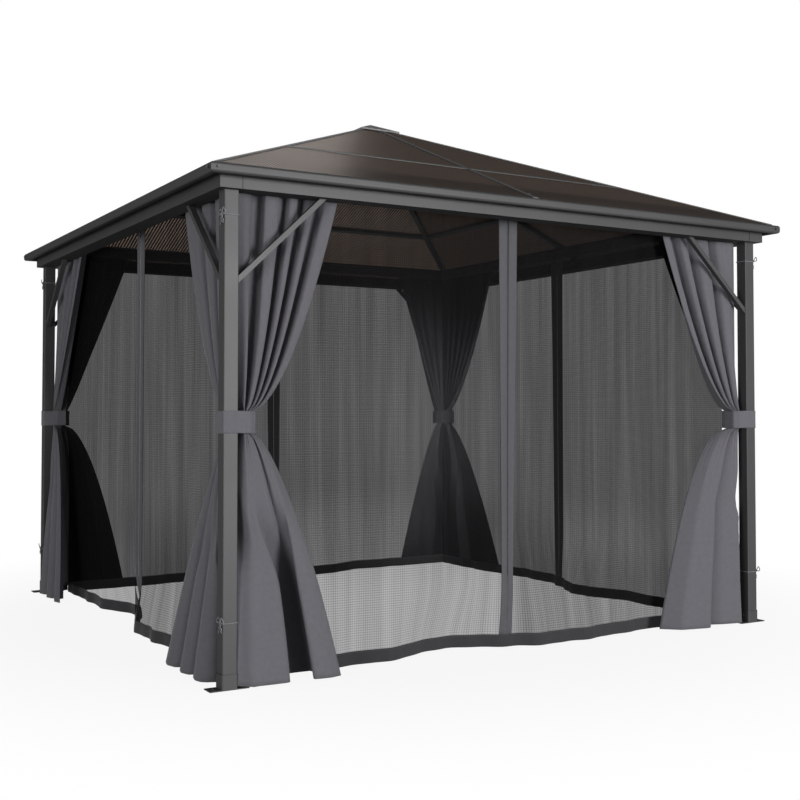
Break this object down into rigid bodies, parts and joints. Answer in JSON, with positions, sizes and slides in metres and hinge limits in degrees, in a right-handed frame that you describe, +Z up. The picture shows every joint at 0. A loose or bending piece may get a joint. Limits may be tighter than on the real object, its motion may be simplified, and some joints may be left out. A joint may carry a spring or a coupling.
{
  "type": "hard top metal gazebo",
  "caption": "Square hipped gazebo: slim metal posts and beams, tinted hollow sheet roof, net walls and curtains tied back at the corners.",
  "frame": {"origin": "on the ground, under the middle of the roof", "axes": "+Z up, -Y towards the front, +X to the right seen from the front"},
  "size_m": [3, 3, 2.6031],
  "materials": {
    "frame": "charcoal powder coat on aluminium, satin",
    "roof_sheet": "bronze tinted twin wall polycarbonate sheet",
    "rail": "black coated aluminium rail",
    "net": "dark grey polyester insect net",
    "curtain": "plain woven grey polyester, matt",
    "cord": "braided dark cord"
  },
  "bodies": {
    "root": {"foot_front_left": "frame", "foot_front_right": "frame", "foot_back_left": "frame", "foot_back_right": "frame", "post_front_left": "frame", "post_front_right": "frame", "post_back_left": "frame", "post_back_right": "frame", "brace_front_left": "frame", "brace_front_right": "frame", "brace_back_left": "frame", "brace_back_right": "frame", "beam_front": "frame", "beam_back": "frame", "beam_left": "frame", "beam_right": "frame", "eave_front": "frame", "eave_back": "frame", "eave_left": "frame", "eave_right": "frame", "hip_rafter_front_left": "frame", "hip_rafter_front_right": "frame", "hip_rafter_back_left": "frame", "hip_rafter_back_right": "frame", "mid_rafter_front": "frame", "mid_rafter_back": "frame", "mid_rafter_left": "frame", "mid_rafter_right": "frame", "purlins": "frame", "roof_sheets_front": "roof_sheet", "roof_sheets_back": "roof_sheet", "roof_sheets_left": "roof_sheet", "roof_sheets_right": "roof_sheet", "crown": "frame", "roof_cap": "frame", "rails": "rail", "net_front": "net", "net_back": "net", "net_left": "net", "net_right": "net", "curtain_front_left": "curtain", "curtain_front_right": "curtain", "curtain_back_left": "curtain", "curtain_back_right": "curtain", "curtain_ties": "curtain", "net_ties": "cord"}
  },
  "joints": []
}
